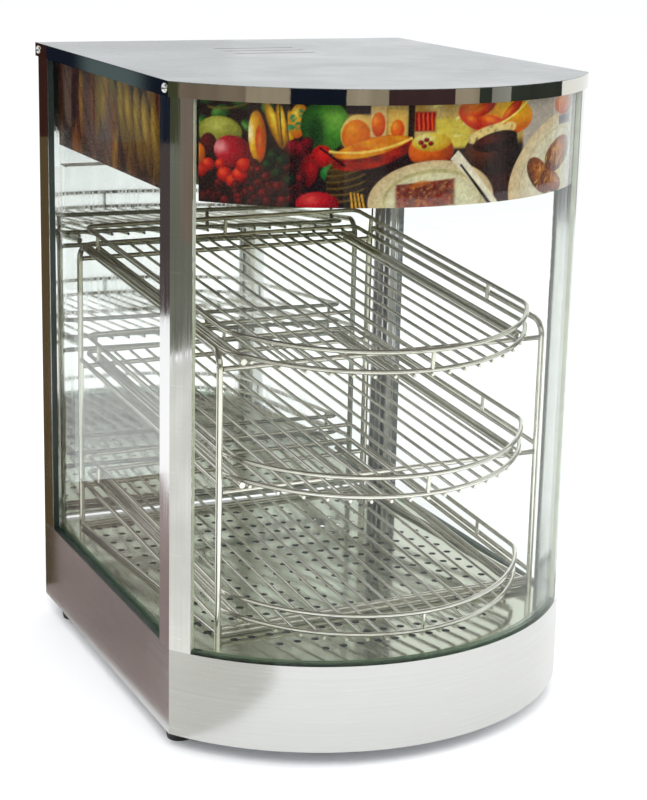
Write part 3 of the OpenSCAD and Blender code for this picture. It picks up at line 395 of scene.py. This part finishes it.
def fruit_and_plates(pic):
    """Fruit in a basket at the left, drinks and bowls in the middle, two plates of food at the right."""
    night, cream, straw = rgb(24, 16, 26), rgb(226, 222, 186), rgb(206, 186, 130)
    pic.ink[:] = night + (rgb(58, 22, 20) - night) * pic.cloud(14, 10)[..., None] * 0.9
    back = straw + (rgb(188, 150, 70) - straw) * pic.cloud(9, 6)[..., None]
    pic.paint(np.clip((pic.s - 118) / 20, 0, 1) * np.clip((pic.z - 46) / 8, 0, 1), back)
    pic.block(112, 152, 76, 96, rgb(46, 24, 44), 2)
    pic.block(300, 420, 30, 96, rgb(196, 186, 172), 4)
    # leaves, vine and melons
    for c, r, a in (((20, 74), (9, 6), 20), ((3, 66), (5, 8), 70), ((44, 64), (4, 7), 50),
                    ((8, 84), (8, 4), 10), ((36, 82), (8, 4), -25), ((61, 80), (6, 6), 40)):
        pic.fruit(c, r, rgb(120, 170, 90), rgb(58, 110, 50), rgb(16, 44, 24), a)
    pic.stroke((8, 78), (46, 84), 0.9, 0.7, rgb(120, 110, 50), 3)
    pic.fruit((19, 58), (20, 13), rgb(196, 196, 110), rgb(158, 158, 70), rgb(84, 88, 36), 0, (-0.2, 0.4))
    net = (np.sin(pic.s * 2.3 + pic.cloud(5, 5) * 4) * np.sin(pic.z * 2.5 + pic.cloud(6, 5) * 4) > 0.45)
    pic.paint(net * 0.3 * pic.oval((19, 58), (19, 12)), rgb(206, 204, 140))
    pic.fruit((9, 47), (8, 10), rgb(120, 30, 40), rgb(84, 18, 24), rgb(30, 8, 14))
    pic.fruit((31, 43), (17, 13), rgb(238, 170, 168), rgb(190, 44, 62), rgb(110, 18, 36), -10, (-0.75, 0.1))
    pic.fruit((0, 39), (6, 9), rgb(244, 190, 90), rgb(220, 130, 44), rgb(150, 70, 20))
    # upright bananas
    for c, r, a in (((66, 66), (4.5, 20), 22), ((72, 66), (4, 18), 8), ((79, 62), (3.5, 16), 3)):
        pic.fruit(c, r, rgb(244, 220, 96), rgb(214, 166, 48), rgb(110, 60, 20), a, (0.3, 0.3))
    for c in (70.5, 76.0, 83.5):
        pic.stroke((c, 84), (c + 3, 50), 0.7, 0.5, rgb(50, 34, 14), 0.6)
    pic.fruit((52, 56), (7.5, 21), rgb(250, 240, 190), rgb(226, 178, 60), rgb(170, 96, 24), 4, (-0.8, 0.2))
    pic.fruit((54, 52), (3.6, 13), rgb(226, 140, 70), rgb(206, 96, 44), rgb(180, 84, 30), 4, (0, 0))
    pic.fruit((86, 70), (8, 14), rgb(246, 220, 110), rgb(222, 160, 50), rgb(190, 100, 30), -8)
    for c in ((82, 72), (86, 66), (80, 64), (88, 76)):
        pic.paint(pic.oval(c, (3, 3.4)) * pic.cloud(2, 2) * 1.6, rgb(70, 140, 90))
    # apples, cherries, tomatoes and limes
    pic.fruit((108, 67), (20, 21), rgb(132, 178, 86), rgb(86, 146, 60), rgb(28, 70, 34), 0, (0.4, 0.25))
    pic.paint(pic.oval((101, 62), (7, 14), 8, 6) * 0.75, rgb(24, 54, 34))
    for c, r in (((83, 48), 7), ((90, 47), 6.5), ((94, 52), 5)):
        pic.fruit(c, (r, r), rgb(160, 40, 60), rgb(112, 20, 36), rgb(50, 10, 20))
    pic.fruit((116, 36), (8, 12), rgb(120, 190, 90), rgb(74, 150, 66), rgb(24, 80, 40), 20)
    pic.fruit((113, 28), (8, 7), rgb(90, 170, 90), rgb(44, 120, 60), rgb(14, 60, 34))
    pic.fruit((95, 30), (8, 14), rgb(190, 50, 50), rgb(140, 22, 34), rgb(70, 10, 20), -10, (0.3, 0.3))
    pic.fruit((106, 42), (9, 9), rgb(226, 70, 62), rgb(190, 34, 38), rgb(110, 12, 24), 0, (0.1, 0.3))
    for c, r in (((9, 31), 6), ((20, 32), 5), ((24, 24), 7), ((31, 19), 6), ((37, 24), 7), ((41, 32), 7),
                 ((2, 26), 6)):
        pic.fruit(c, (r, r * 0.9), rgb(240, 110, 70), rgb(206, 52, 40), rgb(110, 16, 20))
    # dim grapes and berries below them
    for i in range(70):
        c = (rng.uniform(2, 92), rng.uniform(0, 34))
        if c[0] < 46 and c[1] > 18:
            continue
        k = rng.uniform(0.35, 1.0)
        pic.fruit(c, (rng.uniform(3, 5),) * 2, rgb(170, 60, 60) * k, rgb(104, 22, 30) * k, rgb(34, 8, 12))
    for c in ((62, 34), (70, 28), (66, 42), (80, 22), (74, 38)):
        pic.fruit(c, (6, 5), rgb(60, 90, 50), rgb(28, 50, 32), rgb(10, 18, 14), 30)
    # basket with a fork in front
    pic.fruit((126, 20), (17, 20), rgb(96, 78, 44), rgb(58, 42, 24), rgb(22, 14, 14))
    for i in range(6):
        pic.stroke((110, 6 + 5 * i), (142, 10 + 6 * i), 0.8, 0.7, rgb(112, 92, 50), 2.2)
    pic.fruit((103, 3), (18, 10), rgb(226, 96, 90), rgb(188, 44, 54), rgb(120, 20, 34))
    for i in range(4):
        pic.stroke((130.5 + 3 * i, 13 - i * 0.4), (132.5 + 3.4 * i, -2), 0.6, 0.8, rgb(226, 176, 74))
    # orange half, papaya boat and drinks
    pic.fruit((136, 60), (15, 16), rgb(232, 206, 140), rgb(220, 190, 120), rgb(196, 150, 80))
    pic.fruit((134, 59), (12, 13), rgb(236, 160, 66), rgb(222, 130, 44), rgb(200, 100, 30))
    pic.block(146, 159, 58, 84, rgb(224, 196, 140))
    pic.fruit((152.5, 68), (6, 10), rgb(236, 150, 70), rgb(216, 108, 48), rgb(190, 70, 40))
    pic.fruit((155, 51), (7, 5), rgb(190, 40, 40), rgb(150, 20, 30), rgb(90, 10, 20))
    pic.block(161, 176, 56, 80, rgb(226, 190, 110))
    pic.fruit((169, 64), (6, 8), rgb(244, 170, 80), rgb(230, 120, 56), rgb(214, 80, 50))
    pic.block(178, 184, 56, 96, rgb(50, 36, 24), 1.2)
    pic.block(184, 203, 62, 78, rgb(150, 24, 26), 1.5)
    for i in range(4):
        pic.stroke((187 + 4 * i, 77), (188 + 4 * i, 63), 0.8, 0.8, rgb(226, 96, 60))
    boat = pic.oval((148, 45), (36, 12), 14, 1)
    under = pic.oval((148, 56), (40, 13), 14, 1)
    peel, flesh = rgb(190, 60, 30), rgb(232, 170, 60)
    pic.paint(boat, peel + (rgb(110, 20, 20) - peel) * pic.cloud(8, 5)[..., None])
    pic.paint(boat * under, flesh + (rgb(214, 110, 40) - flesh) * pic.cloud(9, 3)[..., None])
    pic.stroke((112, 46), (182, 57), 0.9, 1.0, rgb(246, 214, 120), 5)
    pic.stroke((104, 49), (126, 34), 1.0, 1.0, rgb(30, 16, 12))
    # bowls, paper and the shell plate
    pic.block(203, 236, 48, 72, rgb(214, 196, 96), 3)
    for i in range(9):
        p = (rng.uniform(200, 240), rng.uniform(50, 82))
        pic.stroke(p, (p[0] + rng.uniform(6, 16), p[1] + rng.uniform(-5, 5)), 1.1, 0.4, rgb(240, 228, 150))
    pic.fruit((200, 46), (21, 14), rgb(240, 160, 70), rgb(222, 116, 44), rgb(140, 50, 24))
    pic.fruit((200, 53), (18, 7.5), rgb(244, 236, 190), rgb(226, 206, 96), rgb(190, 140, 50))
    for c in ((190, 53), (195, 55), (193, 50), (199, 52)):
        pic.fruit(c, (2.6, 2), rgb(200, 70, 40), rgb(150, 30, 24), rgb(80, 16, 16))
    pic.block(183, 218, 30, 37, rgb(24, 12, 16), 3)
    pic.fruit((268, 73), (44, 17), rgb(246, 206, 70), rgb(226, 164, 44), rgb(200, 60, 24), -6, (0.3, 0.5))
    for c, r, a in (((250, 78), (14, 5), 20), ((262, 66), (17, 6), -14), ((284, 76), (15, 5), 35),
                    ((240, 68), (10, 5), -20)):
        pic.fruit(c, r, rgb(240, 150, 50), rgb(214, 84, 34), rgb(170, 40, 24), a)
    pic.stroke((252, 62), (306, 84), 0.9, 0.9, rgb(250, 232, 130), 4)
    pic.fruit((262, 44), (31, 20), rgb(120, 66, 40), rgb(64, 34, 24), rgb(20, 14, 12), 6, (-0.4, 0.1))
    pic.paint(pic.oval((262, 58), (28, 7), 10) * np.clip(pic.cloud(4, 3) * 2, 0, 1), rgb(236, 214, 150))
    pic.fruit((266, 51), (26, 8), rgb(112, 50, 34), rgb(60, 26, 20), rgb(26, 16, 14), 8)
    # plates with cooked meat, and the fork between them
    pic.block(246, 300, -2, 24, rgb(64, 22, 20), 4)
    pic.fruit((205, 4), (60, 34), cream * 1.06, cream, rgb(206, 150, 90), 0, (0, 0), 0.06)
    ring = pic.oval((205, 6), (47, 25)) - pic.oval((205, 5), (45, 23))
    pic.paint(ring * 0.6, rgb(176, 170, 110))
    pic.stroke((222, 42), (268, -2), 5, 3, rgb(242, 234, 210))
    pic.stroke((228, 34), (262, -2), 1.0, 1.8, rgb(30, 16, 20))
    roast = rgb(150, 52, 34)
    meat = roast + (rgb(96, 22, 26) - roast) * pic.cloud(5, 4)[..., None]
    meat = meat + (rgb(206, 130, 60) - meat) * (pic.cloud(2.4, 1.8)[..., None] > 0.7) * 0.6
    from_mid = pic.s - 196
    far = np.maximum(np.abs(from_mid / 29), np.abs((pic.z - 10 - from_mid * 0.07) / 11.5))
    lump = np.clip((1 - far) * 9, 0, 1)
    pic.paint(lump * (0.85 + 0.15 * pic.cloud(3, 3)), meat)
    pic.paint(pic.oval((190, 19), (9, 2.6), 12) * 0.6, rgb(206, 126, 60))
    pic.fruit((346, 22), (66, 42), cream * 1.08, rgb(232, 226, 200), rgb(220, 176, 110), 22, (0.1, 0), 0.05)
    ring = pic.oval((346, 22), (52, 31), 22) - pic.oval((346, 22), (50, 29), 22)
    pic.paint(ring * 0.5, rgb(200, 190, 150))
    for c, r, a in (((328, 17), (24, 12), -34), ((362, 33), (27, 14), 14), ((350, 10), (22, 9), -16)):
        pic.fruit(c, r, rgb(214, 150, 84), rgb(160, 96, 56), rgb(84, 62, 60), a, (0.1, 0.3), 0.7)
    for i in range(26):
        c = (rng.uniform(318, 380), rng.uniform(4, 38))
        on = pic.oval((346, 22), (32, 16), 12) > 0.5
        pic.paint(pic.oval(c, (3.5, 1.0), rng.uniform(20, 80)) * on * 0.7, rgb(238, 196, 120))
    pic.fruit((372, 76), (22, 10), rgb(240, 170, 90), rgb(220, 124, 60), rgb(170, 84, 50))
    pic.block(360, 390, 58, 66, rgb(110, 104, 110), 2)
    # painted glare: the print turns whiter towards its right end
    pic.paint(np.clip((pic.s - 372) / 34, 0, 0.75), rgb(236, 238, 238))


def blurred_fruit(pic, front_right):
    """Out-of-focus fruit drawn out into upright smears, darker towards the front."""
    width = pic.s.max()
    s = pic.s if front_right else width - pic.s
    pic.ink[:] = rgb(136, 100, 60)
    for colour, sx, sz in (((176, 112, 56), 26, 90), ((160, 146, 66), 34, 120), ((96, 50, 44), 22, 70),
                           ((206, 160, 90), 18, 60), ((130, 112, 110), 30, 80), ((70, 44, 34), 16, 50)):
        pic.paint(np.clip((pic.cloud(sx, sz) - 0.5) * 4, 0, 0.8), rgb(*colour))
    for i, a in enumerate((196, 216, 240, 262, 286)):
        where = (a if front_right else width - a, 52 - 4 * i)
        lean = 16 if front_right else -16
        pic.fruit(where, (13, 38), rgb(226, 190, 96), rgb(170, 134, 58), rgb(104, 70, 40), lean)
    for i in range(7):
        sweep = np.abs(s - 40 * i - (94 - pic.z) * 0.9)
        pic.paint(np.clip(1 - sweep / 4.5, 0, 1) * 0.45, rgb(60, 38, 28))
    pic.paint(np.clip((s - 230) / 150, 0, 0.7) * np.clip((45 - pic.z) / 40, 0, 1), rgb(44, 20, 18))


film_lo, film_hi = span("front_film")
film_r = arc_r - FILM_IN
half_angle = math.asin((film_hi.x - film_lo.x) / 2 / (arc_r - GLASS_T))
front_art = Picture(2 * half_angle * arc_r * 1000, (film_hi.z - film_lo.z) * 1000, 0.8)
fruit_and_plates(front_art)


def on_bow(s, z):
    a = s / arc_r - half_angle
    return np.stack([film_r * np.sin(a), arc_y - film_r * np.cos(a), film_lo.z + z], -1)


def side_art(node, on_left):
    """The print of one side, in the middle of its film's thickness."""
    lo, hi = span(node)
    art = Picture((hi.y - lo.y) * 1000, (hi.z - lo.z) * 1000, 1.6)
    blurred_fruit(art, on_left)

    def on_side(s, z):
        y = hi.y - s if on_left else lo.y + s
        return np.stack([np.full_like(s, (lo.x + hi.x) / 2), y, lo.z + z], -1)

    return art.mesh(node + "_print", on_side)


arts = [(front_art.mesh("front_film_print", on_bow), "front_film")]
for node in ("left_film", "right_film"):
    arts.append((side_art(node, node == "left_film"), node))
for piece, node in arts:
    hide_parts(node)
    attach(piece, "case")

# ---------------------------------------------------------------- camera

cam_data = bpy.data.cameras.new("camera")
cam = bpy.data.objects.new("camera", cam_data)
bpy.context.collection.objects.link(cam)
yaw, pitch, roll = (math.radians(a) for a in CAMERA_TURN)
ahead = Vector((math.sin(yaw) * math.cos(pitch), math.cos(yaw) * math.cos(pitch), -math.sin(pitch)))
level = Vector((math.cos(yaw), -math.sin(yaw), 0))
upright = level.cross(ahead)
image_x = level * math.cos(roll) + upright * math.sin(roll)
image_y = upright * math.cos(roll) - level * math.sin(roll)
spot = Vector(CAMERA_AT) + Vector((0, mid_y, 0))
rows = [(image_x[i], image_y[i], -ahead[i], spot[i]) for i in range(3)]
cam.matrix_world = Matrix((*rows, (0, 0, 0, 1)))
cam_data.sensor_width = 36
cam_data.lens = CAMERA_LENS
cam_data.clip_start = 0.05
cam_data.clip_end = 100
bpy.context.scene.camera = cam

# ---------------------------------------------------------------- studio

scene = bpy.context.scene
scene.view_settings.view_transform = "Standard"
world = bpy.data.worlds.new("studio")
scene.world = world
world.use_nodes = True
background = world.node_tree.nodes["Background"]
background.inputs[0].default_value = (0.97, 0.98, 1.0, 1)
background.inputs[1].default_value = 1.06


def board(name, corners):
    """A studio board of four-cornered pieces, with a new material. Corners go in fours."""
    mesh = bpy.data.meshes.new(name)
    mesh.from_pydata(corners, [], [tuple(range(i, i + 4)) for i in range(0, len(corners), 4)])
    o = bpy.data.objects.new(name, mesh)
    bpy.context.collection.objects.link(o)
    material, nt, shader = new_material(name)
    mesh.materials.append(material)
    return o, nt, shader


paper = (0.97, 0.97, 0.97)
floor, nt, shader = board("floor", [(-30, -30, 0), (30, -30, 0), (30, 30, 0), (-30, 30, 0)])
tone = mix_colour(nt, noise(nt, place(nt, (-2, -2, 2)), 1.0, 2.0), paper, scaled(paper, 0.985))
set_shader(nt, shader, Base_Color=tone, Roughness=0.9)


def mirrored(name, corners, colour):
    """A board that only reflections see: the dim surroundings of the studio."""
    o, nt, shader = board(name, corners)
    cloud = noise(nt, place(nt, (3, 3, 3)), 1.0, 3.0)
    tone = mix_colour(nt, remap(nt, cloud, 0.0, 1.0, 0.3, 0.7), colour, tuple(k * 0.7 for k in colour))
    set_shader(nt, shader, Base_Color=(0, 0, 0, 1), Roughness=1.0, Specular_IOR_Level=0.0,
               Emission_Color=tone, Emission_Strength=1.0)
    o.visible_camera = o.visible_diffuse = o.visible_shadow = o.visible_transmission = False


def wall(name, a0, a1, z0, colour, radius):
    """Piece of a round wall about the case. Angles in degrees from the front, to the right."""
    n = math.ceil((a1 - a0) / 5)
    angles = [math.radians(a0 + (a1 - a0) * i / n) for i in range(n + 1)]
    points = [(radius * math.sin(a), mid_y - radius * math.cos(a)) for a in angles]
    corners = []
    for p, q in zip(points, points[1:]):
        corners += [(*p, z0), (*q, z0), (*q, WALL_TOP), (*p, WALL_TOP)]
    mirrored(name, corners, colour)


def rug(name, corners, colour, z=0.004):
    mirrored(name, [(x, y + mid_y, z) for x, y in corners], colour)


OLIVE = (0.075, 0.085, 0.045)
PURPLE = (0.065, 0.035, 0.040)
NAVY = (0.010, 0.014, 0.028)
TEAL = (0.10, 0.14, 0.15)
BEIGE = (0.42, 0.36, 0.28)
STONE = (0.36, 0.36, 0.34)
MOSS = (0.045, 0.055, 0.045)
ROSE = (0.25, 0.20, 0.16)
GREEN_GREY = (0.20, 0.21, 0.17)
DUSK = (0.095, 0.075, 0.072)
OUTER_WALLS = ((-200, -97, 0.0, DUSK), (-97, -77, 0.0, GREEN_GREY))
WALLS = (
    (-200, -158, 0.24, NAVY), (-158, -155, 0.24, TEAL), (-155, -120, 0.24, NAVY), (-97, -92, 0.28, MOSS),
    (-92, -88, 0.28, ROSE), (-88, -84, 0.28, MOSS), (-84, -80, 0.28, OLIVE), (-80, -52, 0.1, ROSE),
    (-52, -35, 0.1, BEIGE), (-35, -14, 0.1, NAVY), (-14, 2, 0.1, BEIGE), (2, 29, 0.2, PURPLE),
    (29, 40, 0.2, BEIGE), (40, 46, 0.2, MOSS), (46, 56, 0.2, STONE), (56, 91, 0.2, MOSS),
)
for i, (a0, a1, z0, colour) in enumerate(OUTER_WALLS + WALLS):
    wall(f"wall_{i}", a0, a1, z0, colour, WALL_R + (0.04 if i < len(OUTER_WALLS) else 0))
rug("far_rug_left", [(-4, -1.6), (-1.75, -1.0), (-1.55, 1.1), (-4, 1.1)], GREEN_GREY)
rug("far_rug_rear", [(-4, 1.1), (-1.2, 1.1), (-0.72, 1.55), (-0.3, 4)], DUSK)
rug("near_rug", [(-0.215, -0.17), (-0.2, 0.60), (-0.47, 0.60), (-0.36, 0.1)], (0.39, 0.31, 0.30), 0.002)
rug("front_left_rug", [(-1.75, -1.3), (-0.24, -0.42), (-0.215, -0.19), (-1.6, 0.1)],
    (1.03, 1.03, 0.99), 0.003)

# two boards on end close behind the rear left post, and one high over the front
left, right, back = -side_x - 0.030, -side_x - 0.003, post_corner.y + 0.09
for name, z0, z1, colour in (("strip_low", 0, 0.49, (0.114, 0.080, 0.038)),
                             ("strip_top", 0.49, 0.62, (0.05, 0.018, 0.014))):
    mirrored(name, [(left, back, z0), (right, back, z0), (right, back, z1), (left, back, z1)], colour)
overhead = [(x, y, 1.5) for x, y in ((-1.6, -1.6), (1.6, -1.6), (1.6, 0.1), (-1.6, 0.1))]
mirrored("overhead", overhead, (0.10, 0.10, 0.06))


def lamp(name, where, size, power):
    """A soft white area lamp aimed at the middle of the case. Reflections do not show it."""
    data = bpy.data.lights.new(name, "AREA")
    data.shape = "RECTANGLE"
    data.size, data.size_y = size
    data.energy = power
    o = bpy.data.objects.new(name, data)
    bpy.context.collection.objects.link(o)
    o.location = where
    o.rotation_mode = "QUATERNION"
    o.rotation_quaternion = (Vector((0, 0, 0.3)) - Vector(where)).to_track_quat("-Z", "Y")
    o.visible_glossy = False


lamp("key", (-1.2, -2.0, 2.6), (2.2, 1.6), 60)
lamp("fill", (2.2, -1.2, 1.8), (1.6, 1.6), 25)
